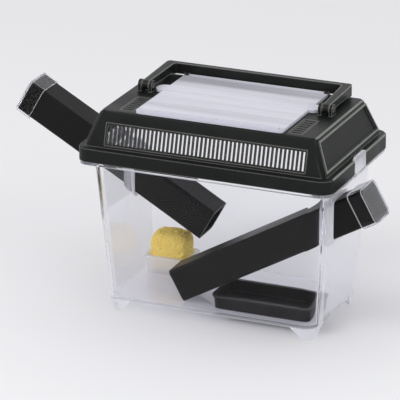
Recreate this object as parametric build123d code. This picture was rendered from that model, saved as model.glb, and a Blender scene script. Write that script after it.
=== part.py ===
from build123d import *
import os
from math import cos, hypot, radians, sin, tan

# Cricket keeper box: a clear tapered tank with a dark lid, a clear hatch, a carrying handle,
# two sloping dispensing tubes with clear end caps, and two dishes on the tank floor.
# Frame: +X to the right along the long side, +Y to the back, +Z up. The origin is the centre
# of the footprint, on the plane that the feet stand on. All sizes are in millimetres.

# Lid
rim_length = 180.0  # outside of the lid's rim band, along X
rim_depth = 111.5  # the same along Y
rim_height = 10.0  # height of the upright band
rim_corner = 9.0
ledge_width = 4.5  # level step between the band and the slopes
lid_rise = 24.0  # from the ledge up to the plateau
end_lean = 9.7  # how far each short-side slope leans in over its height
front_lean = 6.75  # the same for the front and back slopes
slope_corner = 4.2
lid_wall = 2.0
edge_bevel = 0.9  # bevel round the top of the band and round the plateau

# Tank
tank_height = 109.0  # from the feet to the top of the flange, where the lid's rim sits
tank_wall = 2.0
tank_floor = 2.2
foot_height = 8.4
foot_lean = 2.0  # how far the feet draw in towards the ground
foot_span_top = 17.0  # length of a foot along each side, where it meets the floor
foot_span_low = 9.0  # the same at the ground
shoulder_end = 8.25  # flange width outside the tank wall, at the short sides
shoulder_front = 5.5  # the same at the long sides
flange_thickness = 2.2
flange_setback = 0.5  # how far the flange stays inside the lid's rim
tank_end_taper = 6.75  # draw of each short side from flange to floor
tank_front_taper = 8.75  # the same for the long sides
tank_corner = 8.5
lip_height = 4.0  # upstand that locates the lid
lip_wall = 1.6
lid_clearance = 0.3  # between the tank's upstands and the lid
tongue_width = 20.0  # snap tongue in the middle of each short side, in a notch of the rim band
tongue_corner = 3.0
tongue_above_ledge = 1.8

# Dispensing tubes and their ports
tube_width = 23.0  # outside of the square tube
tube_wall = 1.7
tube_corner = 2.6
tube_tilt = 29.3  # degrees above level
tube_spread = 20.3  # from the middle plane to each tube's centre line
port_drop = 25.8  # from the underside of the flange down to the centre of the port
port_clearance = 0.25
collar_wall = 2.0
collar_inward = 4.0  # how far the collar stands in from the wall face
collar_outward = 4.5
tube_reach = 31.7  # from the port to the tube's outer end, with the tube pushed home
pulled_out = 58.0  # how far the rear tube is drawn out
rest_gap = 0.3  # under the inner end of a tube that is home
cap_wall = 1.1
cap_end = 1.4
cap_skirt = 10.0
cap_clearance = 0.15
cap_bevel = 0.7

# Hatch
hatch_side_margin = 23.8  # from the plateau's end to the hatch, along X
hatch_front_margin = 1.2  # from the plateau's front edge to the hatch lip
hatch_thickness = 1.8
hatch_corner = 2.5
hatch_overlap = 3.5  # how far the pane lies on the plateau in front and at its sides
hatch_overlap_back = 1.75  # plateau left between the opening and the hinge posts
hatch_seat = 0.1
lip_thickness = 1.8
lip_rise = 2.0  # how far the finger lip stands above the pane
barrel_radius = 1.2
hatch_pin_radius = 1.0
pin_clearance = 0.08
post_width = 3.0
post_wall = 0.8
post_gap = 0.4
lobe_reach = 7.0  # side lobes that press the hatch shut
lobe_length = 12.0
lobe_setback = 9.0  # from the middle plane back to the lobes' centre

# Handle
bar_setback = 1.9  # from the plateau's back edge forward to the grip bar
bar_thickness = 4.4
bar_height = 7.6
bar_lift = 0.9  # from the plateau up to the underside of the folded bar
bar_post_gap = 0.5
arm_width = 5.0  # at the pivot
arm_flare = 1.4  # how much wider each arm is where it meets the grip bar
eye_radius = 3.1
handle_pivot_y = 4.0
handle_pin_radius = 1.6
handle_corner = 4.0
handle_inner_corner = 2.5
grip_corner = 1.1
relief_height = 2.6  # hollow along the underside of each arm
relief_margin = 6.0  # from the pivot and from the bar to the centres of the hollow's ends
ear_width = 2.2
ear_radius = 3.5
ear_gap = 0.3  # between an ear and the arm beside it

# Grilles and vents
grille_pitch = 2.92
grille_margin = 4.7  # from the plateau's ends to the grille, seen from the front
slot_width = 1.9
slot_height = 12.6
grille_border = 1.3
grille_drop = 3.1  # from the middle of the slope down to the middle of the grille
panel_fit = 0.1
vent_slots = 7
vent_pitch = 4.1
vent_slot_width = 2.0
vent_slot_length = 7.2
vent_border = 1.4
vent_front_margin = 4.8  # from the plateau's front edge to the side vents
vent_gap = 2.4  # from the edge of the hatch to the vent
bead_inset = 2.6  # from the edges of a short-side slope to the raised bead on it
bead_width = 1.2
bead_height = 0.6
panel_depth = 0.8  # how far the panel inside the bead is sunk

# Dishes and sponge
food_dish_height = 9.5
water_dish_height = 12.5
dish_wall = 1.5
dish_base = 1.8
dish_draw = 1.6  # how much narrower a dish is at its base, on each side
dish_corner = 4.0
dish_rim = 1.0
dish_rim_height = 1.3
tube_over_dish = 2.2  # air between the food dish and the tube above it
food_dish_depth = 34.0
food_dish_front_gap = 4.6  # from the tank's inner wall
dish_end_gap = 3.4
water_dish_length = 33.5
water_dish_depth = 25.0
water_dish_back_gap = 7.5  # from the tank's inner wall
sponge_gap = 0.5
sponge_spread = 2.0  # how far the sponge swells out on each side, from its base to its top
sponge_corner = 4.0
sponge_bevel = 3.5
tube_over_sponge = 5.0  # air between the sponge and the rear tube above it

# Worked out from the sizes above
flange_under = tank_height - flange_thickness
floor_top = foot_height + tank_floor
ledge_z = tank_height + rim_height
plateau_z = ledge_z + lid_rise
slope_length = rim_length - 2 * ledge_width
slope_depth = rim_depth - 2 * ledge_width
plateau_length = slope_length - 2 * end_lean
plateau_depth = slope_depth - 2 * front_lean
end_slope_run = hypot(lid_rise, end_lean)
wall_top_length = rim_length - 2 * (flange_setback + shoulder_end)
wall_top_depth = rim_depth - 2 * (flange_setback + shoulder_front)

tilt = radians(tube_tilt)
port_z = flange_under - port_drop
bar_front_y = plateau_depth / 2 - bar_setback
post_radius = hatch_pin_radius + pin_clearance + post_wall
hinge_y = bar_front_y - bar_post_gap - post_radius
hatch_base_z = plateau_z + hatch_seat
hinge_z = hatch_base_z + barrel_radius
hatch_half = plateau_length / 2 - hatch_side_margin
hatch_front_y = hatch_front_margin - plateau_depth / 2
handle_pivot_z = plateau_z + bar_lift + eye_radius
ear_inner_x = hatch_half + lobe_reach + post_gap
arm_inner_x = ear_inner_x + ear_width + ear_gap
arm_outer_x = arm_inner_x + arm_width
ear_outer_x = arm_outer_x + ear_gap
food_dish_top_z = floor_top + food_dish_height
grille_slots = 1 + int((plateau_length - 2 * (grille_margin + grille_border) - slot_width)
                       / grille_pitch)


def leaning_block(low, high):
    """Block between two level rectangles, each (length, depth, z), with four flat sides."""
    slabs = []
    for plane, side in ((Plane.XZ, 0), (Plane.YZ, 1)):
        below, above = low[side] / 2, high[side] / 2
        outline = Polygon((-below, low[2]), (below, low[2]), (above, high[2]), (-above, high[2]),
                          align=None)
        slabs.append(extrude(plane * outline, rim_length, both=True))
    return slabs[0] & slabs[1]


def tapered_block(low, high, corner):
    """Leaning block with the edges between its sides rounded."""
    block = leaning_block(low, high)
    return fillet(block.edges().group_by(Axis.Z)[1], corner)


def upright_block(length, depth, corner, z_low, z_high):
    """Level rounded rectangle carried straight up."""
    return extrude(Pos(0, 0, z_low) * RectangleRounded(length, depth, corner), z_high - z_low)


def box_between(low, high):
    """Box given by its lowest and highest corners."""
    size = [b - a for a, b in zip(low, high)]
    middle = [(a + b) / 2 for a, b in zip(low, high)]
    return Pos(*middle) * Box(*size)


def tank_outline(z, inset=0.0):
    """The tank wall's length, depth and height at a level, moved in by an inset."""
    share = (flange_under - z) / (flange_under - foot_height)
    length = wall_top_length - 2 * (tank_end_taper * share + inset)
    depth = wall_top_depth - 2 * (tank_front_taper * share + inset)
    return (length, depth, z)


def tank_half_length(z, inset=0.0):
    return tank_outline(z, inset)[0] / 2


def tank_half_depth(z, inset=0.0):
    return tank_outline(z, inset)[1] / 2


port_x = tank_half_length(port_z)
# Distance from the port's centre down the tube to its inner end, when its lower edge
# has come to the floor.
inner_reach = (port_z - floor_top - rest_gap - tube_width / 2 * cos(tilt)) / sin(tilt)


def tube_plane(distance):
    """Plane square to the front tube, a distance outward from the port along its axis."""
    origin = (port_x + distance * cos(tilt), -tube_spread, port_z + distance * sin(tilt))
    return Plane(origin=origin, x_dir=(0, 1, 0), z_dir=(cos(tilt), 0, sin(tilt)))


def square_bar(width, corner, start, end):
    """Rounded square bar along the front tube's axis."""
    return extrude(tube_plane(start) * RectangleRounded(width, width, corner), end - start)


def to_rear(part, drawn=0.0):
    """The same piece for the rear tube, turned half round, and drawn out along its axis."""
    return Pos(-drawn * cos(tilt), 0, drawn * sin(tilt)) * Rot(0, 0, 180) * part


def tube_underside(distance):
    """Height of a tube's underside at a level distance inward from its port."""
    return port_z - distance * tan(tilt) - tube_width / 2 / cos(tilt)


def feet():
    """Four corner feet, left over from a drawn-in skirt that is cut away along each side."""
    length, depth, _ = tank_outline(foot_height)
    low_length, low_depth = length - 2 * foot_lean, depth - 2 * foot_lean
    inset = 2 * tank_wall
    skirt = tapered_block((low_length, low_depth, 0), (length, depth, foot_height), tank_corner)
    skirt -= tapered_block((low_length - inset, low_depth - inset, 0),
                           (length - inset, depth - inset, foot_height),
                           tank_corner - tank_wall)
    for span, plane in ((length, Plane.XZ), (depth, Plane.YZ)):
        top, low = span / 2 - foot_span_top, span / 2 - foot_span_low
        arch = plane * Polygon((-low, 0), (low, 0), (top, foot_height), (-top, foot_height),
                               align=None)
        skirt -= extrude(arch, rim_length, both=True)
    return skirt


def port_collar():
    """Square sleeve round the front tube, with both faces upright."""
    outer = tube_width + 2 * (port_clearance + collar_wall)
    corner = tube_corner + port_clearance + collar_wall
    sleeve = square_bar(outer, corner, -outer, outer)
    low = (port_x - collar_inward, -rim_depth, 0)
    high = (port_x + collar_outward, rim_depth, plateau_z)
    return sleeve & box_between(low, high)


def port_bore():
    width = tube_width + 2 * port_clearance
    return square_bar(width, tube_corner + port_clearance, -width, width)


def snap_tongue():
    """Upright tongue on the right-hand flange, flush in a notch of the lid's rim band."""
    tongue = box_between(
        (rim_length / 2 - lid_wall + lid_clearance, -tongue_width / 2, flange_under),
        (rim_length / 2, tongue_width / 2, ledge_z + tongue_above_ledge),
    )
    top_corners = tongue.edges().filter_by(Axis.X).group_by(Axis.Z)[-1]
    return fillet(top_corners, tongue_corner)


def tank():
    """Clear tank with floor, flange, upstand, feet, snap tongues and two tube ports."""
    shell = tapered_block(tank_outline(foot_height), tank_outline(flange_under), tank_corner)
    flange_length = rim_length - 2 * flange_setback
    flange_depth = rim_depth - 2 * flange_setback
    shell += upright_block(flange_length, flange_depth, rim_corner - flange_setback,
                           flange_under, tank_height)
    shell -= tapered_block(tank_outline(floor_top, tank_wall),
                           tank_outline(tank_height, tank_wall), tank_corner - tank_wall)
    inset = 2 * (lid_wall + lid_clearance)
    corner = rim_corner - lid_wall - lid_clearance
    upstand = upright_block(rim_length - inset, rim_depth - inset, corner,
                            tank_height, tank_height + lip_height)
    upstand -= upright_block(rim_length - inset - 2 * lip_wall, rim_depth - inset - 2 * lip_wall,
                             corner - lip_wall, tank_height, tank_height + lip_height)
    shell += upstand
    shell += feet()
    for turn in (0, 180):
        shell += Rot(0, 0, turn) * snap_tongue()
        shell += Rot(0, 0, turn) * port_collar()
    for turn in (0, 180):
        shell -= Rot(0, 0, turn) * port_bore()
    return shell


def end_slope_plane():
    """Plane on the right-hand slope of the lid, with local Y up the slope."""
    middle = (slope_length / 2 - end_lean / 2, 0, ledge_z + lid_rise / 2)
    return Plane(origin=middle, x_dir=(0, 1, 0), z_dir=(lid_rise, 0, end_lean))


def front_slope_plane():
    """Plane on the front slope of the lid, with local Y up the slope."""
    middle = (0, front_lean / 2 - slope_depth / 2, ledge_z + lid_rise / 2)
    return Plane(origin=middle, x_dir=(1, 0, 0), z_dir=(0, -lid_rise, front_lean))


def end_slope_face(inset):
    """Trapezoid on the right-hand slope, moved in from the slope's four edges."""
    half = end_slope_run / 2
    low, high = slope_depth / 2, plateau_depth / 2
    face = Polygon((-low, -half), (low, -half), (high, half), (-high, half), align=None)
    return end_slope_plane() * offset(face, -inset, kind=Kind.INTERSECTION)


def end_panel_recess():
    """Shallow panel sunk into the right-hand slope."""
    return extrude(end_slope_face(bead_inset + bead_width), -panel_depth)


def end_panel_bead():
    """Raised bead round the sunk panel."""
    rim = end_slope_face(bead_inset) - end_slope_face(bead_inset + bead_width)
    return extrude(rim, bead_height)


def grille_face_size(fit=0.0):
    """Length and height of a grille panel, less a fit all round."""
    length = (grille_slots - 1) * grille_pitch + slot_width + 2 * (grille_border - fit)
    return length, slot_height + 2 * (grille_border - fit)


def grille():
    """Front grille panel: upright slots in a flat plate, set in the slope."""
    face = Rectangle(*grille_face_size(panel_fit))
    face -= GridLocations(grille_pitch, 0, grille_slots, 1) * Rectangle(slot_width, slot_height)
    return extrude(front_slope_plane() * Pos(0, -grille_drop) * face, -lid_wall)


def vent_size(fit=0.0):
    """Width along X and length along Y of a side vent, less a fit all round."""
    length = (vent_slots - 1) * vent_pitch + vent_slot_width + 2 * (vent_border - fit)
    return vent_slot_length + 2 * (vent_border - fit), length


def vent_place():
    width, length = vent_size()
    front_y = vent_front_margin - plateau_depth / 2
    return Pos(hatch_half + vent_gap + width / 2, front_y + length / 2, plateau_z)


def side_vent():
    """Right-hand vent strip beside the hatch, with slots across it."""
    face = Rectangle(*vent_size(panel_fit))
    face -= GridLocations(0, vent_pitch, 1, vent_slots) * Rectangle(vent_slot_length,
                                                                    vent_slot_width)
    return extrude(vent_place() * face, -lid_wall)


def handle_ear(inner_x):
    """Round-topped ear on the plateau with a hole for the handle's pin."""
    ear = box_between(
        (inner_x, handle_pivot_y - ear_radius, plateau_z),
        (inner_x + ear_width, handle_pivot_y + ear_radius, handle_pivot_z),
    )
    middle = (inner_x + ear_width / 2, handle_pivot_y, handle_pivot_z)
    ear += Pos(*middle) * Rot(0, 90, 0) * Cylinder(ear_radius, ear_width)
    bore = Cylinder(handle_pin_radius + pin_clearance, 2 * ear_width)
    return ear - Pos(*middle) * Rot(0, 90, 0) * bore


def hatch_post():
    """Small post at the right-hand end of the hatch's hinge."""
    inner_x = hatch_half - post_width
    middle = (inner_x + post_width / 2, hinge_y, hinge_z)
    post = box_between((inner_x, hinge_y - post_radius, plateau_z),
                       (inner_x + post_width, hinge_y + post_radius, hinge_z))
    post += Pos(*middle) * Rot(0, 90, 0) * Cylinder(post_radius, post_width)
    bore = Cylinder(hatch_pin_radius + pin_clearance, 2 * post_width)
    return post - Pos(*middle) * Rot(0, 90, 0) * bore


def lid_frame():
    """Dark lid: rim band, ledge, four slopes and a plateau round the hatch opening."""
    inset = 2 * lid_wall
    frame = upright_block(rim_length, rim_depth, rim_corner, tank_height, ledge_z)
    frame = chamfer(frame.faces().sort_by(Axis.Z)[-1].edges(), edge_bevel)
    hood = tapered_block((slope_length, slope_depth, ledge_z),
                         (plateau_length, plateau_depth, plateau_z), slope_corner)
    frame += chamfer(hood.faces().sort_by(Axis.Z)[-1].edges(), edge_bevel)
    frame -= upright_block(rim_length - inset, rim_depth - inset, rim_corner - lid_wall,
                           tank_height, ledge_z - lid_wall)
    under = ledge_z - lid_wall
    lean_share = lid_wall / lid_rise
    frame -= tapered_block(
        (slope_length - inset + 2 * end_lean * lean_share,
         slope_depth - inset + 2 * front_lean * lean_share, under),
        (plateau_length - inset + 2 * end_lean * lean_share,
         plateau_depth - inset + 2 * front_lean * lean_share, plateau_z - lid_wall),
        slope_corner - lid_wall,
    )
    opening_front = hatch_front_y + hatch_overlap
    opening_back = hinge_y - post_radius - hatch_overlap_back
    opening = Rectangle(2 * (hatch_half - hatch_overlap), opening_back - opening_front)
    opening = fillet(opening.vertices(), hatch_corner)
    frame -= extrude(Pos(0, (opening_front + opening_back) / 2, plateau_z - 2 * lid_wall)
                     * opening, 3 * lid_wall)
    grille_cut = extrude(front_slope_plane() * Pos(0, -grille_drop)
                         * Rectangle(*grille_face_size()), lid_wall * 2, both=True)
    vent_cut = extrude(vent_place() * Rectangle(*vent_size()), lid_wall * 2, both=True)
    tongue_notch = box_between(
        (rim_length / 2 - lid_wall, -tongue_width / 2 - lid_clearance, flange_under),
        (rim_length / 2 + lid_wall, tongue_width / 2 + lid_clearance, plateau_z),
    )
    for turn in (0, 180):
        frame -= Rot(0, 0, turn) * grille_cut
        frame -= Rot(0, 0, turn) * end_panel_recess()
        frame += Rot(0, 0, turn) * end_panel_bead()
        frame -= Rot(0, 0, turn) * tongue_notch
    frame -= vent_cut
    frame -= mirror(vent_cut, Plane.YZ)
    for piece in (handle_ear(ear_inner_x), handle_ear(ear_outer_x), hatch_post()):
        frame += piece
        frame += mirror(piece, Plane.YZ)
    return frame


def hatch():
    """Clear pane with a finger lip in front, a hinge barrel behind and a lobe each side."""
    top = hatch_base_z + hatch_thickness
    middle_y = (hatch_front_y + hinge_y) / 2
    pane = fillet(Rectangle(2 * hatch_half, hinge_y - hatch_front_y).vertices().group_by(Axis.Y)[0],
                  hatch_corner)
    pane = extrude(Pos(0, middle_y, hatch_base_z) * pane, hatch_thickness)
    pane += box_between((-hatch_half + hatch_corner, hatch_front_y, hatch_base_z),
                        (hatch_half - hatch_corner, hatch_front_y + lip_thickness,
                         top + lip_rise))
    lobe = extrude(Pos(hatch_half, lobe_setback, hatch_base_z)
                   * RectangleRounded(2 * lobe_reach, lobe_length,
                                      min(lobe_reach, lobe_length / 2) - post_gap),
                   hatch_thickness)
    pane += lobe
    pane += mirror(lobe, Plane.YZ)
    barrel_half = hatch_half - post_width - post_gap
    end_cut = box_between((barrel_half, hinge_y - post_radius - post_gap, plateau_z),
                          (hatch_half + post_gap, hinge_y + post_radius, hinge_z + post_radius))
    pane -= end_cut
    pane -= mirror(end_cut, Plane.YZ)
    pane += Pos(0, hinge_y, hinge_z) * Rot(0, 90, 0) * Cylinder(barrel_radius, 2 * barrel_half)
    pin = Cylinder(hatch_pin_radius, 2 * (hatch_half - post_gap))
    return pane + Pos(0, hinge_y, hinge_z) * Rot(0, 90, 0) * pin


def handle():
    """U-shaped carrying handle, folded back: two arms, a grip bar and four stub pins."""
    bar_base = plateau_z + bar_lift
    back_y = bar_front_y + bar_thickness
    front_y = handle_pivot_y - eye_radius
    outer = Rectangle(2 * arm_outer_x, back_y - front_y)
    outer = fillet(outer.vertices().group_by(Axis.Y)[-1], handle_corner)
    flare_y = handle_pivot_y + ear_radius + 2 * ear_gap
    inner_back_x = arm_inner_x - arm_flare
    inner = Polygon((-arm_inner_x, front_y), (arm_inner_x, front_y), (arm_inner_x, flare_y),
                    (inner_back_x, bar_front_y), (-inner_back_x, bar_front_y),
                    (-arm_inner_x, flare_y), align=None)
    inner = fillet(inner.vertices().group_by(Axis.Y)[-1], handle_inner_corner)
    plan = Pos(0, (front_y + back_y) / 2) * outer - inner
    loop = extrude(Pos(0, 0, plateau_z) * plan, bar_lift + bar_height + 2 * eye_radius)
    eye = Pos(handle_pivot_y, handle_pivot_z) * Circle(eye_radius)
    grip = Pos(bar_front_y + bar_thickness / 2, bar_base + bar_height / 2) * RectangleRounded(
        bar_thickness, bar_height, grip_corner)
    side = make_hull(eye.edges() + grip.edges())
    relief = Pos((handle_pivot_y + bar_front_y) / 2, bar_base) * SlotCenterToCenter(
        bar_front_y - handle_pivot_y - 2 * relief_margin, relief_height)
    loop &= extrude(Plane.YZ * (side - relief), rim_length, both=True)
    pin_length = arm_width + 2 * (ear_gap + ear_width)
    pin_x = (arm_inner_x + arm_outer_x) / 2
    for x in (-pin_x, pin_x):
        loop += Pos(x, handle_pivot_y, handle_pivot_z) * Rot(0, 90, 0) * Cylinder(
            handle_pin_radius, pin_length)
    return loop


def dispensing_tube():
    """Front tube, home in its port: a square tube, open at its inner end."""
    tube = square_bar(tube_width, tube_corner, -inner_reach, tube_reach)
    return tube - square_bar(tube_width - 2 * tube_wall, tube_corner - tube_wall,
                             -inner_reach, tube_reach)


def tube_cap():
    """Clear cap over the front tube's outer end."""
    inner = tube_width + 2 * cap_clearance
    outer = inner + 2 * cap_wall
    corner = tube_corner + cap_clearance
    mouth, stop = tube_reach - cap_skirt, tube_reach + cap_clearance
    cap = square_bar(outer, corner + cap_wall, mouth, stop + cap_end)
    end_face = cap.faces().filter_by(GeomType.PLANE).sort_by(tube_axis())[-1]
    cap = chamfer(end_face.edges(), cap_bevel)
    return cap - square_bar(inner, corner, mouth, stop)


def tube_axis():
    return Axis((port_x, -tube_spread, port_z), (cos(tilt), 0, sin(tilt)))


def dish(length, depth, height):
    """Open dish on its own centre, standing at z = 0, with a small rim."""
    low_length, low_depth = length - 2 * dish_draw, depth - 2 * dish_draw
    top_length, top_depth = length - 2 * dish_rim, depth - 2 * dish_rim
    body = tapered_block((low_length, low_depth, 0), (top_length, top_depth, height), dish_corner)
    body += upright_block(length, depth, dish_corner + dish_rim, height - dish_rim_height, height)
    inset = 2 * dish_wall
    return body - tapered_block(
        (low_length - inset, low_depth - inset, dish_base),
        (top_length - inset, top_depth - inset, height),
        dish_corner - dish_wall,
    )


def food_dish():
    """Dish along the front, from under the front tube to the right-hand wall."""
    tube_room = tube_underside(0) - tube_over_dish - food_dish_top_z
    left = port_x - tube_room / tan(tilt)
    right = tank_half_length(floor_top, tank_wall) - dish_end_gap
    front = food_dish_front_gap - tank_half_depth(floor_top, tank_wall)
    place = Pos((left + right) / 2, front + food_dish_depth / 2, floor_top)
    return place * dish(right - left, food_dish_depth, food_dish_height)


def water_dish_middle():
    """Centre of the water dish, in the tank's back left corner."""
    left = dish_end_gap - tank_half_length(floor_top, tank_wall)
    back = tank_half_depth(floor_top, tank_wall) - water_dish_back_gap
    return left + water_dish_length / 2, back - water_dish_depth / 2


def water_dish():
    body = dish(water_dish_length, water_dish_depth, water_dish_height)
    return Pos(*water_dish_middle(), floor_top) * body


def water_sponge():
    """Block that stands in the water dish and swells out above it, with worn top edges."""
    middle_x, middle_y = water_dish_middle()
    inset = 2 * (dish_draw + dish_wall + sponge_gap)
    length, depth = water_dish_length - inset, water_dish_depth - inset
    right = middle_x + length / 2 + sponge_spread
    top = tube_underside(port_x + right) - tube_over_sponge
    block = leaning_block((length, depth, floor_top + dish_base),
                          (length + 2 * sponge_spread, depth + 2 * sponge_spread, top))
    block = chamfer(block.edges().group_by(Axis.Z)[1], sponge_corner)
    block = chamfer(block.faces().sort_by(Axis.Z)[-1].edges(), sponge_bevel)
    return Pos(middle_x, middle_y, 0) * block


nodes = {
    "tank": tank(),
    "lid_frame": lid_frame(),
    "front_grille": grille(),
    "rear_grille": Rot(0, 0, 180) * grille(),
    "right_vent": side_vent(),
    "left_vent": mirror(side_vent(), Plane.YZ),
    "hatch": hatch(),
    "handle": handle(),
    "front_tube": dispensing_tube(),
    "front_tube_cap": tube_cap(),
    "rear_tube": to_rear(dispensing_tube(), pulled_out),
    "rear_tube_cap": to_rear(tube_cap(), pulled_out),
    "food_dish": food_dish(),
    "water_dish": water_dish(),
    "water_sponge": water_sponge(),
}

os.makedirs("parts", exist_ok=True)
for name, part in nodes.items():
    export_step(part, f"parts/{name}.step")
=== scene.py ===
"""Keeper box with two slanting tubes: finishes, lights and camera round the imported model.

The moulded pieces keep their exact shapes, as merged copies with smooth corners. The sponge is
a surface of its own. The dark plastics are ABS and polypropylene, and the clear ones are
polystyrene, but for the small dish, which is polypropylene too.
"""
from math import cos, radians, sin

import bmesh
import bpy
import numpy as np
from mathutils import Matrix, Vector

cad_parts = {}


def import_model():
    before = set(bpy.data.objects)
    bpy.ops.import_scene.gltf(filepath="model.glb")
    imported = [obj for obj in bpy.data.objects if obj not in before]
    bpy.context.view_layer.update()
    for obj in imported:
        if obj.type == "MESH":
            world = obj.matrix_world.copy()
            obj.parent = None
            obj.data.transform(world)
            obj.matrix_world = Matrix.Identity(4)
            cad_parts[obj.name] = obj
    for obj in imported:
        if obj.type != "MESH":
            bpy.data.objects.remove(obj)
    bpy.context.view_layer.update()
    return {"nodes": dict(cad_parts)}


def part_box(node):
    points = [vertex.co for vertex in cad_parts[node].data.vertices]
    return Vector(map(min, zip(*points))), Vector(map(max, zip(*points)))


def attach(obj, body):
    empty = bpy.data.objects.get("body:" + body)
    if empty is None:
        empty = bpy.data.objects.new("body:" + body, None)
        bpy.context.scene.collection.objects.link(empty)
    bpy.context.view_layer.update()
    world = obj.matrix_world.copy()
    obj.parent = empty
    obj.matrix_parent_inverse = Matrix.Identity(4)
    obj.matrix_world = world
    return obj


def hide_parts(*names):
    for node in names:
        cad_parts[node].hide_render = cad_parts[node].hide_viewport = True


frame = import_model()

MM = 0.001

# Colours as they are seen, in sRGB
CHARCOAL = "#161717"
CHARCOAL_TUBE = "#111110"
CHARCOAL_DISH = "#211f20"
CHARCOAL_HANDLE_LIGHTER = "#1e1f1e"
# The next two greys are painted highlights: on the lid's bead and bevels, and along edges
CHARCOAL_BEAD_HIGHLIGHT = "#777a74"
CHARCOAL_EDGE_HIGHLIGHT = "#92948e"
CLEAR_TINT = "#fafafc"
CLEAR_MILK = "#ececf3"
HATCH_TINT = "#f1f1f8"
HATCH_MILK = "#d6d6e0"
SPONGE_LIGHT = "#ffdf77"
SPONGE_PORE_SHADE = "#e6b04d"
FLOOR_COLOUR = "#ececef"
BACKDROP_COLOUR = "#f4f4f7"
PLAIN_WHITE = "#ffffff"

# Moulded dark plastic
ABS_INDEX = 1.52
ABS_GLOSS = 0.13  # specular level: a spark-eroded skin throws back little light
CLOUD_SIZE = 22 * MM
CLOUD_DARK, CLOUD_LIGHT = 0.82, 1.22  # times the colour
SHEEN_DOWN, SHEEN_UP = 0.05, 0.06  # how far the clouds move the roughness
GRAIN_STRENGTH = 0.35
NOISE_LOW, NOISE_HIGH = 0.3, 0.7  # most of a noise texture's values lie between these

# Clear plastic
FLOW_SIZE = 34 * MM
FLOW_STRENGTH = 0.2
GLINT = (0.1, 0.1, 0.1, 1.0)  # mirror light kept on the clear walls, so that dark tubes stay dark
MILK_ROUGHNESS, MILK_INDEX = 0.4, 1.5
SLANT_FAINT, SLANT_FULL = 0.5, 0.97  # Facing at which the bloom starts and is full
STREAK_SIZE = (260 * MM, 13 * MM, 40 * MM)  # size of a band along X, Y and Z
TURNS_KEPT = 4.5  # a ray that clear plastic has bent or thrown back more often goes straight on

# Edges of both
EDGE_REACH = 1.0 * MM  # width of the painted highlight band beside an edge
CLEAR_EDGE_REACH = 0.7 * MM
# Likeness of the surface's direction to a rounded edge's, where the band starts and is full
EDGE_FAINT, EDGE_FULL = 0.985, 0.85
EDGE_SAMPLES = 6

# Sponge
PORE_SIZE = 2.6 * MM
PORE_RIM = 0.35  # distance from a pore's middle, in cells, at which the painted shade ends and the colour is all light
PORE_RELIEF, PORE_STRENGTH = 0.8 * MM, 0.6
SPONGE_GLOW = (4 * MM, 3 * MM, 1 * MM)  # reach of red, green and blue light; the shader shortens it
SPONGE_SQUARENESS = 5.0  # power of the sponge's outline: 2 is round, and a high one is square
SPONGE_CROWN = 5.0  # the same for its side and top
SPONGE_SWELL = 4.0 * MM  # narrower at the foot than at the top
SPONGE_INSET = 0.1 * MM
SPONGE_ROWS, SPONGE_COLUMNS = 90, 180
PORE_SEED = 7
PORE_COUNT = 900
PORE_RADIUS = (0.5 * MM, 1.5 * MM)
PORE_DEPTH = 0.6  # times its radius

# Merged copies
MERGE_DISTANCE = 0.002 * MM
FLAT_ANGLE = radians(0.3)  # faces that differ by less are one face
SMOOTH_ANGLE = radians(32)  # a sharper corner stays an edge

# Zones of the tank's faces
SLEEVE_WALL = 2.6 * MM
SLEEVE_INNER_X = 75.2 * MM
SLEEVE_LOW = 60 * MM
SLEEVE_HIGH = 101 * MM
FOOT_TOP = 8.5 * MM

# Zones of the faces at the lid's right-hand end that get a painted highlight
RIM_END_X = 90 * MM
SLOPE_FOOT_X = 85.5 * MM
SLOPE_TOP_X = 75.8 * MM
LEDGE_Z = 119 * MM
PLATEAU_Z = 143 * MM
BEVEL_HEIGHT = 1.0 * MM
RIM_BEVEL_WIDTH = 1.0 * MM
PLATEAU_BEVEL_WIDTH = 1.5 * MM
LEVEL_SLACK = 0.1 * MM
BEAD_PROUD = 0.3 * MM

# Viewing angle of the photograph, and how much of the scene it takes in
VIEW_TURN = radians(23.1)
VIEW_RISE = radians(20.2)
VIEW_DISTANCE = 2275 * MM
VIEW_WIDTH = 268 * MM
VIEW_CENTRE = (-24 * MM, 0.0, 72 * MM)
VIEW_END = 20.0
SENSOR_WIDTH = 36.0

# Studio, in metres and watts
FLOOR_HALF = 3.0
LAMP_SIZE = 0.8
LAMP_TARGET = (0, 0, 0.07)
KEY_PLACE, KEY_POWER = (-0.8, -1.0, 1.3), 8.5
FILL_PLACE, FILL_POWER = (1.2, -0.7, 0.9), 5.0
HORIZON_LIGHT, OVERHEAD_LIGHT = 0.4, 0.82
OVERHEAD_RISE = 0.5  # sine of the height above the horizon from which the light is full
INSIDE_GLASS = 1.5  # a ray that has turned more often comes from within the clear plastic


def linear(colour):
    """sRGB hex to linear RGBA, by the sRGB curve."""
    parts = np.array([int(colour[i:i + 2], 16) for i in (1, 3, 5)]) / 255
    low, high = parts / 12.92, ((parts + 0.055) / 1.055) ** 2.4
    return (*np.where(parts <= 0.04045, low, high).tolist(), 1.0)


# ---------------------------------------------------------------- materials

def add(tree, kind, settings=None, links=None):
    """One node. A setting goes to the socket of its name, or else to the node's own property,
    and a link joins a socket to another node's output. A number stands for a socket by its
    place, where names repeat."""
    made = tree.nodes.new(kind)
    for key, value in (settings or {}).items():
        if isinstance(key, int) or key in made.inputs:
            made.inputs[key].default_value = value
        else:
            setattr(made, key, value)
    for key, source in (links or {}).items():
        tree.links.new(source, made.inputs[key])
    return made


def new_material(name):
    material = bpy.data.materials.new(name)
    material.use_nodes = True
    tree = material.node_tree
    tree.nodes.clear()
    return material, tree


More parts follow.
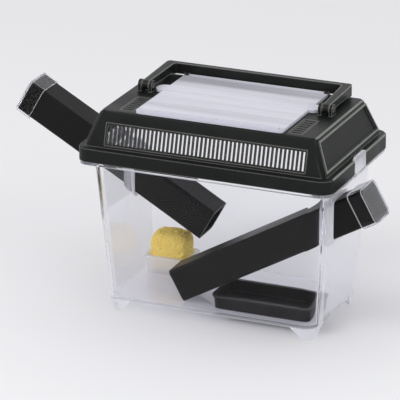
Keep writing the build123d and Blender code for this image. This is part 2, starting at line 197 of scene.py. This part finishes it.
def edge_share(tree, radius, most):
    """A share that rises from nothing to the most towards a sharp edge, within a radius: it
    follows how far the surface's direction differs from that of a rounded edge. It sets where
    the dark plastics get a painted edge highlight, and where the clear ones turn milky."""
    rounded = add(tree, "ShaderNodeBevel", {"samples": EDGE_SAMPLES, "Radius": radius})
    flat = add(tree, "ShaderNodeNewGeometry")
    alike = add(tree, "ShaderNodeVectorMath", {"operation": "DOT_PRODUCT"},
                {0: rounded.outputs["Normal"], 1: flat.outputs["Normal"]})
    share = add(tree, "ShaderNodeMapRange",
                {"From Min": EDGE_FAINT, "From Max": EDGE_FULL, "To Max": most},
                {"Value": alike.outputs["Value"]})
    return share.outputs["Result"]


def moulded_abs(name, colour, roughness, edge_highlight, grain=0.9, bump=0.05, reach=EDGE_REACH):
    """ABS, injection moulded in a spark-eroded die: an even satin skin with a fine pebble
    grain, faint cloudy flow where the sheen changes, and a pale painted highlight along its
    edges, where rounded edges would catch the light. The grain and its height are in mm."""
    material, tree = new_material(name)
    place = add(tree, "ShaderNodeTexCoord").outputs["Object"]
    cloud = add(tree, "ShaderNodeTexNoise", {"Scale": 1 / CLOUD_SIZE, "Detail": 3.0},
                {"Vector": place})
    # The real grain is about 0.2 mm; it is drawn coarser so that it shows at this size.
    pebble = add(tree, "ShaderNodeTexNoise", {"Scale": 1 / (grain * MM), "Detail": 2.0},
                 {"Vector": place})
    shade = add(tree, "ShaderNodeValToRGB", links={"Fac": cloud.outputs["Fac"]})
    ramp = shade.color_ramp.elements
    for stop, position, change in ((ramp[0], NOISE_LOW, CLOUD_DARK),
                                   (ramp[1], NOISE_HIGH, CLOUD_LIGHT)):
        stop.position = position
        stop.color = np.array(linear(colour)) * (change, change, change, 1)
    # Painted highlight: the colour turns pale grey along the edges
    painted_edge_highlight = add(tree, "ShaderNodeMixRGB", {"Color2": linear(CHARCOAL_EDGE_HIGHLIGHT)},
               {"Fac": edge_share(tree, reach, edge_highlight), "Color1": shade.outputs["Color"]})
    sheen = add(tree, "ShaderNodeMapRange",
                {"From Min": NOISE_LOW, "From Max": NOISE_HIGH,
                 "To Min": roughness - SHEEN_DOWN, "To Max": roughness + SHEEN_UP},
                {"Value": cloud.outputs["Fac"]})
    relief = add(tree, "ShaderNodeBump", {"Strength": GRAIN_STRENGTH, "Distance": bump * MM},
                 {"Height": pebble.outputs["Fac"]})
    plastic = add(tree, "ShaderNodeBsdfPrincipled",
                  {"IOR": ABS_INDEX, "Specular IOR Level": ABS_GLOSS},
                  {"Base Color": painted_edge_highlight.outputs["Color"], "Roughness": sheen.outputs["Result"],
                   "Normal": relief.outputs["Normal"]})
    add(tree, "ShaderNodeOutputMaterial", links={"Surface": plastic.outputs["BSDF"]})
    return material


def streaked(tree, place, share, amount):
    """The share, thinned and thickened in soft bands that run along X, a few mm to a few
    tens of mm wide, as the melt's front leaves them in a wide thin pane."""
    along = add(tree, "ShaderNodeMapping", {"Scale": [1 / size for size in STREAK_SIZE]},
                {"Vector": place})
    bands = add(tree, "ShaderNodeTexNoise", {"Scale": 1.0, "Detail": 2.0},
                {"Vector": along.outputs["Vector"]})
    swing = add(tree, "ShaderNodeMapRange",
                {"From Min": NOISE_LOW, "From Max": NOISE_HIGH,
                 "To Min": -amount, "To Max": amount}, {"Value": bands.outputs["Fac"]})
    total = add(tree, "ShaderNodeMath", {"operation": "ADD", "use_clamp": True},
                {0: share, 1: swing.outputs["Result"]})
    return total.outputs["Value"]


def clear_polystyrene(name, roughness, ripple, haze, edge_haze, rim_light,
                      tint=CLEAR_TINT, milk=CLEAR_MILK, streaks=0.0, index=1.5):
    """Crystal polystyrene, moulded in a polished die: clear and hard, with light and dark
    lines along its edges, a slow ripple from the melt's flow, in mm, and a milky bloom that
    gathers where the wall is seen at a slant. Light for what stands behind it goes straight
    through, and so does light that its edges have already turned many times."""
    material, tree = new_material(name)
    place = add(tree, "ShaderNodeTexCoord").outputs["Object"]
    flow = add(tree, "ShaderNodeTexNoise", {"Scale": 1 / FLOW_SIZE, "Detail": 1.0},
               {"Vector": place})
    relief = add(tree, "ShaderNodeBump", {"Strength": FLOW_STRENGTH, "Distance": ripple * MM},
                 {"Height": flow.outputs["Fac"]})
    glass = add(tree, "ShaderNodeBsdfPrincipled",
                {"Base Color": linear(tint), "Roughness": roughness, "IOR": index,
                 "Specular Tint": GLINT, "Transmission Weight": 1.0},
                {"Normal": relief.outputs["Normal"]})
    bloom = add(tree, "ShaderNodeBsdfPrincipled",
                {"Base Color": linear(milk), "Roughness": MILK_ROUGHNESS, "IOR": MILK_INDEX})
    slant = add(tree, "ShaderNodeLayerWeight", {"Blend": 0.5})
    share = add(tree, "ShaderNodeMapRange",
                {"From Min": SLANT_FAINT, "From Max": SLANT_FULL,
                 "To Min": haze, "To Max": edge_haze},
                {"Value": slant.outputs["Facing"]}).outputs["Result"]
    if streaks:
        share = streaked(tree, place, share, streaks)
    share = add(tree, "ShaderNodeMath", {"operation": "MAXIMUM"},
                {0: share, 1: edge_share(tree, CLEAR_EDGE_REACH, rim_light)})
    body = add(tree, "ShaderNodeMixShader",
               links={"Fac": share.outputs["Value"], 1: glass.outputs["BSDF"],
                      2: bloom.outputs["BSDF"]})
    through = add(tree, "ShaderNodeBsdfTransparent", {"Color": linear(tint)})
    ray = add(tree, "ShaderNodeLightPath")
    spent = add(tree, "ShaderNodeMath", {"operation": "GREATER_THAN", 1: TURNS_KEPT},
                {0: ray.outputs["Ray Depth"]})
    lighting = add(tree, "ShaderNodeMath", {"operation": "MAXIMUM"},
                   {0: ray.outputs["Is Shadow Ray"], 1: ray.outputs["Is Diffuse Ray"]})
    straight = add(tree, "ShaderNodeMath", {"operation": "MAXIMUM"},
                   {0: lighting.outputs["Value"], 1: spent.outputs["Value"]})
    whole = add(tree, "ShaderNodeMixShader",
                links={"Fac": straight.outputs["Value"], 1: body.outputs["Shader"],
                       2: through.outputs["BSDF"]})
    add(tree, "ShaderNodeOutputMaterial", links={"Surface": whole.outputs["Shader"]})
    return material


def cellulose_sponge(name):
    """Cellulose sponge: matt and soft, with a little light that spreads inside it, and pores
    of about 1 to 3 mm, with painted shade that goes darker and browner towards their middles."""
    material, tree = new_material(name)
    place = add(tree, "ShaderNodeTexCoord").outputs["Object"]
    pores = add(tree, "ShaderNodeTexVoronoi", {"Scale": 1 / PORE_SIZE}, {"Vector": place})
    # Painted shade: each pore darkens from the light colour at its rim to the dark one in its
    # middle
    shade = add(tree, "ShaderNodeValToRGB", links={"Fac": pores.outputs["Distance"]})
    ramp = shade.color_ramp.elements
    ramp[0].color, ramp[1].color = linear(SPONGE_PORE_SHADE), linear(SPONGE_LIGHT)
    ramp[1].position = PORE_RIM
    relief = add(tree, "ShaderNodeBump", {"Strength": PORE_STRENGTH, "Distance": PORE_RELIEF},
                 {"Height": pores.outputs["Distance"]})
    foam = add(tree, "ShaderNodeBsdfPrincipled",
               {"Roughness": 0.9, "IOR": 1.4, "Subsurface Weight": 0.15,
                "Subsurface Radius": SPONGE_GLOW},
               {"Base Color": shade.outputs["Color"], "Normal": relief.outputs["Normal"]})
    add(tree, "ShaderNodeOutputMaterial", links={"Surface": foam.outputs["BSDF"]})
    return material


# The lid: satin and near black, with a pale grey painted highlight line along its edges
charcoal_abs = moulded_abs("charcoal_abs_spark_grain", CHARCOAL, 0.38, edge_highlight=0.7)
# The lid's beads and end bevels: pale all over, a painted highlight where they stand proud and
# would catch the light
bead_highlight_abs = moulded_abs("charcoal_abs_painted_highlight", CHARCOAL_BEAD_HIGHLIGHT, 0.36, edge_highlight=0.6,
                         bump=0.03)
# The handle: a shade lighter, with a broad painted highlight along its edges
handle_edge_highlight_abs = moulded_abs("charcoal_abs_handle_painted_edges", CHARCOAL_HANDLE_LIGHTER, 0.36, edge_highlight=0.9,
                         reach=1.5 * MM)
# The grilles' bars: a faint painted highlight on their edges. The vents' bars: a stronger one, a
# pale painted highlight tick on each end
grille_abs = moulded_abs("charcoal_abs_grille", CHARCOAL, 0.36, edge_highlight=0.3)
vent_abs = moulded_abs("charcoal_abs_vent_bars", CHARCOAL, 0.36, edge_highlight=0.5)
# The tubes: the darkest and most even, with a coarser grain
tube_abs = moulded_abs("charcoal_abs_tube", CHARCOAL_TUBE, 0.39, edge_highlight=0.25, grain=1.3)
# The food dish: polypropylene, browner and nearly without grain
dish_plastic = moulded_abs("charcoal_polypropylene", CHARCOAL_DISH, 0.38, edge_highlight=0.25,
                           grain=0.6, bump=0.01)
# The tank: clear from the front, with bright edges and milky slanting walls
tank_plastic = clear_polystyrene("crystal_polystyrene_tank", 0.02, 0.3, haze=0.0,
                                 edge_haze=0.8, rim_light=0.7)
# The end caps: thin and clear, with a bright line round each edge. Their index is low, so that
# the tube's end stays whole behind them.
cap_plastic = clear_polystyrene("crystal_polystyrene_cap", 0.03, 0.2, haze=0.0,
                                edge_haze=0.5, rim_light=0.8, index=1.35)
# The small dish: half milky, so that the sponge's foot shows as a soft shape
dish_clear = clear_polystyrene("milky_polypropylene_dish", 0.1, 0.2, haze=0.4,
                               edge_haze=0.6, rim_light=0.6)
# The hatch: milky in long soft streaks, with near-white edges
hatch_plastic = clear_polystyrene("crystal_polystyrene_hatch", 0.08, 0.3, haze=0.55,
                                  edge_haze=0.8, rim_light=0.9, tint=HATCH_TINT,
                                  milk=HATCH_MILK, streaks=0.25)
# Port sleeves and feet: the same plastic with a matt skin, which looks frosted
matt_plastic = clear_polystyrene("crystal_polystyrene_matt", 0.15, 0.3, haze=0.5,
                                 edge_haze=0.8, rim_light=0.8)
sponge_foam = cellulose_sponge("cellulose_sponge")


# ---------------------------------------------------------------- pieces

def smooth_copy(node, body, slot, material):
    """The node's own shape with its corners merged, so that round faces shade as round."""
    mesh = frame["nodes"][node].data.copy()
    shape = bmesh.new()
    shape.from_mesh(mesh)
    bmesh.ops.remove_doubles(shape, verts=shape.verts, dist=MERGE_DISTANCE)
    bmesh.ops.dissolve_limit(shape, angle_limit=FLAT_ANGLE, verts=shape.verts,
                             edges=shape.edges, use_dissolve_boundaries=False)
    shape.to_mesh(mesh)
    shape.free()
    mesh.materials.clear()
    mesh.materials.append(material)
    mesh.shade_smooth()
    mesh.set_sharp_from_angle(angle=SMOOTH_ANGLE)
    piece = bpy.data.objects.new(f"{node}_finished", mesh)
    bpy.context.scene.collection.objects.link(piece)
    even = piece.modifiers.new("even_normals", "WEIGHTED_NORMAL")
    even.weight, even.keep_sharp = 100, True
    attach(piece, body)
    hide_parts(node)
    return piece


# Node: body, record slot and finish
finishes = {
    "tank": ("tank", "clear_styrene", tank_plastic),
    "lid_frame": ("lid", "charcoal_plastic", charcoal_abs),
    "front_grille": ("lid", "charcoal_plastic", grille_abs),
    "rear_grille": ("lid", "charcoal_plastic", grille_abs),
    "right_vent": ("lid", "charcoal_plastic", vent_abs),
    "left_vent": ("lid", "charcoal_plastic", vent_abs),
    "hatch": ("hatch", "clear_hatch", hatch_plastic),
    "handle": ("handle", "charcoal_handle", handle_edge_highlight_abs),
    "front_tube": ("front_tube", "charcoal_tube", tube_abs),
    "front_tube_cap": ("front_tube_cap", "clear_cap", cap_plastic),
    "rear_tube": ("rear_tube", "charcoal_tube", tube_abs),
    "rear_tube_cap": ("rear_tube_cap", "clear_cap", cap_plastic),
    "food_dish": ("food_dish", "dark_dish", dish_plastic),
    "water_dish": ("water_dish", "clear_dish", dish_clear),
}
pieces = {node: smooth_copy(node, *finish) for node, finish in finishes.items()}


def read(items, field, kind, width=1):
    """One field of a mesh's points, corners or faces, as a flat array."""
    values = np.empty(len(items) * width, dtype=kind)
    items.foreach_get(field, values)
    return values


def zone_faces(piece, zone, material):
    """A second material for every face whose corners all lie in a zone. The zone is a test on
    the corners' places, and it is tried on the piece as it stands and turned half round."""
    mesh = piece.data
    if mesh.materials.find(material.name) < 0:
        mesh.materials.append(material)
    points = read(mesh.vertices, "co", np.float32, 3).reshape(-1, 3).astype(float)
    inside = zone(points) | zone(points * (-1, -1, 1))
    corners = inside[read(mesh.loops, "vertex_index", np.int32)]
    whole = np.logical_and.reduceat(corners, read(mesh.polygons, "loop_start", np.int32))
    chosen = read(mesh.polygons, "material_index", np.int32)
    chosen[whole] = mesh.materials.find(material.name)
    mesh.polygons.foreach_set("material_index", chosen)


def sleeve_or_foot(points):
    """The block round the front tube's port sleeve, which is moulded matt, and the feet."""
    x, y, z = points.T
    tube_low, tube_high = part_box("front_tube")
    across = (y > tube_low[1] - SLEEVE_WALL) & (y < tube_high[1] + SLEEVE_WALL)
    sleeve = (x > SLEEVE_INNER_X) & across & (z > SLEEVE_LOW) & (z < SLEEVE_HIGH)
    return sleeve | (z < FOOT_TOP)


def end_bead(points):
    """The raised bead on the lid's right-hand slope: what stands out from the slope's plane."""
    x, _, z = points.T
    share = (z - LEDGE_Z) / (PLATEAU_Z - LEDGE_Z)
    slope_x = SLOPE_FOOT_X + (SLOPE_TOP_X - SLOPE_FOOT_X) * share
    return (z > LEDGE_Z + MM) & (z < PLATEAU_Z - MM) & (x > slope_x + BEAD_PROUD)


def end_bevel(inner_x, level):
    """The zone of the bevel along the right-hand end of a level face: past inner_x, from the
    bevel's foot up to the level."""
    def zone(points):
        x, _, z = points.T
        return (x > inner_x) & (z > level - BEVEL_HEIGHT) & (z < level + LEVEL_SLACK)
    return zone


zone_faces(pieces["tank"], sleeve_or_foot, matt_plastic)
# The bead and the bevels at the lid's right-hand end are coloured pale grey: a painted highlight
for highlight_zone in (end_bead, end_bevel(SLOPE_TOP_X - PLATEAU_BEVEL_WIDTH, PLATEAU_Z),
                    end_bevel(RIM_END_X - RIM_BEVEL_WIDTH, LEDGE_Z)):
    zone_faces(pieces["lid_frame"], highlight_zone, bead_highlight_abs)


def rounded_block(low, high, base_share):
    """Worn block of foam between two corners, as rows of points from the foot to the crown.
    Round the block, a point follows the superellipse |x/a|^n + |y/b|^n = 1. Up the block, its
    half lengths grow evenly from a share of the full size to the full size, and a second
    superellipse, of the height, draws them in to nothing at the crown. Equal turns t of a
    quarter circle give height sin(t)^(2/m) and draw cos(t)^(2/m)."""
    middle, half = (low + high) / 2, (high - low) / 2
    around = np.linspace(0, 2 * np.pi, SPONGE_COLUMNS, endpoint=False)
    circle = np.stack([np.cos(around), np.sin(around)], axis=1)
    ring = np.sign(circle) * np.abs(circle) ** (2 / SPONGE_SQUARENESS)
    turn = np.linspace(0, np.pi / 2, SPONGE_ROWS)
    height, draw = np.sin(turn) ** (2 / SPONGE_CROWN), np.cos(turn) ** (2 / SPONGE_CROWN)
    size = (base_share + (1 - base_share) * height) * draw
    points = np.empty((SPONGE_ROWS, SPONGE_COLUMNS, 3))
    points[:, :, :2] = middle[:2] + size[:, None, None] * ring * half[:2]
    points[:, :, 2] = (low[2] + (high[2] - low[2]) * height)[:, None]
    return points


def pitted(points, middle):
    """Points of a foam skin, each moved towards the middle by the deepest pore that it lies in.
    A pore is a round pit: depth times (1 - (distance / radius)^2), and none beyond its radius."""
    random = np.random.default_rng(PORE_SEED)
    flat = points.reshape(-1, 3)
    centres = flat[random.integers(0, len(flat), PORE_COUNT)]
    radius = random.uniform(*PORE_RADIUS, PORE_COUNT)
    away = np.linalg.norm(flat[:, None, :] - centres[None], axis=2) / radius
    pit = (PORE_DEPTH * radius * np.clip(1 - away ** 2, 0, None)).max(axis=1)
    inward = middle - flat
    inward /= np.linalg.norm(inward, axis=1, keepdims=True)
    return (flat + inward * pit[:, None]).reshape(points.shape)


def sponge():
    """Cellulose sponge in the water dish: a worn block that swells above the dish. Quads join
    its rows, and a fan of triangles closes the foot and another the crown."""
    low, high = np.array(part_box("water_sponge"))
    low = low + (SPONGE_INSET, SPONGE_INSET, 0)
    high = high - SPONGE_INSET
    points = rounded_block(low, high, 1 - SPONGE_SWELL / (high[0] - low[0]))
    points = pitted(points, (low + high) / 2)
    rows, columns = points.shape[:2]
    vertices = np.vstack([points[:-1].reshape(-1, 3),
                          points[0].mean(axis=0), points[-1].mean(axis=0)])
    place = np.arange((rows - 1) * columns).reshape(rows - 1, columns)
    along = np.roll(place, -1, axis=1)
    quads = np.stack([place[:-1], along[:-1], along[1:], place[1:]], axis=-1).reshape(-1, 4)
    foot = np.stack([np.full(columns, len(vertices) - 2), along[0], place[0]], axis=-1)
    crown = np.stack([np.full(columns, len(vertices) - 1), place[-1], along[-1]], axis=-1)
    mesh = bpy.data.meshes.new("sponge")
    mesh.from_pydata(vertices.tolist(), [], quads.tolist() + foot.tolist() + crown.tolist())
    mesh.materials.append(sponge_foam)
    mesh.shade_smooth()
    piece = bpy.data.objects.new("sponge", mesh)
    bpy.context.scene.collection.objects.link(piece)
    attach(piece, "water_sponge")
    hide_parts("water_sponge")


sponge()


# ---------------------------------------------------------------- stage, lights, camera

def look_at(thing, target):
    thing.rotation_euler = (Vector(target) - thing.location).to_track_quat("-Z", "Y").to_euler()


def area_light(name, place, power):
    data = bpy.data.lights.new(name, "AREA")
    data.shape, data.size, data.energy = "SQUARE", LAMP_SIZE, power
    lamp = bpy.data.objects.new(name, data)
    lamp.location = place
    bpy.context.scene.collection.objects.link(lamp)
    look_at(lamp, LAMP_TARGET)


def floor():
    """One level sheet, far wider than the view."""
    half = FLOOR_HALF
    mesh = bpy.data.meshes.new("floor")
    mesh.from_pydata([(-half, -half, 0), (half, -half, 0), (half, half, 0), (-half, half, 0)],
                     [], [(0, 1, 2, 3)])
    material, tree = new_material("studio_floor")
    matt = add(tree, "ShaderNodeBsdfPrincipled",
               {"Base Color": linear(FLOOR_COLOUR), "Roughness": 0.8})
    add(tree, "ShaderNodeOutputMaterial", links={"Surface": matt.outputs["BSDF"]})
    mesh.materials.append(material)
    sheet = bpy.data.objects.new("floor", mesh)
    bpy.context.scene.collection.objects.link(sheet)


def world():
    """Pale surroundings. As light, they are bright overhead and dim to the horizon, as under
    the ceiling of a light tent. Where the camera, glass and gloss inside the glass look past
    the object, they are near white all over."""
    studio = bpy.data.worlds.new("studio")
    bpy.context.scene.world = studio
    studio.use_nodes = True
    tree = studio.node_tree
    tree.nodes.clear()
    ray = add(tree, "ShaderNodeLightPath")
    direction = add(tree, "ShaderNodeTexCoord").outputs["Generated"]
    rise = add(tree, "ShaderNodeSeparateXYZ", links={"Vector": direction})
    strength = add(tree, "ShaderNodeMapRange",
                   {"From Min": 0.0, "From Max": OVERHEAD_RISE,
                    "To Min": HORIZON_LIGHT, "To Max": OVERHEAD_LIGHT},
                   {"Value": rise.outputs["Z"]})
    light = add(tree, "ShaderNodeBackground", {"Color": linear(PLAIN_WHITE)},
                {"Strength": strength.outputs["Result"]})
    seen = add(tree, "ShaderNodeBackground", {"Color": linear(BACKDROP_COLOUR), "Strength": 1.0})
    inside = add(tree, "ShaderNodeMath", {"operation": "GREATER_THAN", 1: INSIDE_GLASS},
                 {0: ray.outputs["Ray Depth"]})
    thrown = add(tree, "ShaderNodeMath", {"operation": "MULTIPLY"},
                 {0: inside.outputs["Value"], 1: ray.outputs["Is Glossy Ray"]})
    looked = add(tree, "ShaderNodeMath", {"operation": "MAXIMUM"},
                 {0: ray.outputs["Is Camera Ray"], 1: ray.outputs["Is Transmission Ray"]})
    either = add(tree, "ShaderNodeMath", {"operation": "MAXIMUM"},
                 {0: looked.outputs["Value"], 1: thrown.outputs["Value"]})
    sky = add(tree, "ShaderNodeMixShader",
              links={"Fac": either.outputs["Value"], 1: light.outputs["Background"],
                     2: seen.outputs["Background"]})
    add(tree, "ShaderNodeOutputWorld", links={"Surface": sky.outputs["Shader"]})


def camera():
    """Long lens at the photograph's angle, wide enough for the whole object."""
    back = Vector((sin(VIEW_TURN) * cos(VIEW_RISE), -cos(VIEW_TURN) * cos(VIEW_RISE),
                   sin(VIEW_RISE)))
    data = bpy.data.cameras.new("camera")
    data.sensor_width = SENSOR_WIDTH
    data.lens = SENSOR_WIDTH * VIEW_DISTANCE / VIEW_WIDTH
    data.clip_end = VIEW_END
    eye = bpy.data.objects.new("camera", data)
    eye.location = Vector(VIEW_CENTRE) + back * VIEW_DISTANCE
    bpy.context.scene.collection.objects.link(eye)
    look_at(eye, VIEW_CENTRE)
    bpy.context.scene.camera = eye


floor()
world()
area_light("key", KEY_PLACE, KEY_POWER)
area_light("fill", FILL_PLACE, FILL_POWER)
camera()
bpy.context.scene.view_settings.view_transform = "Standard"
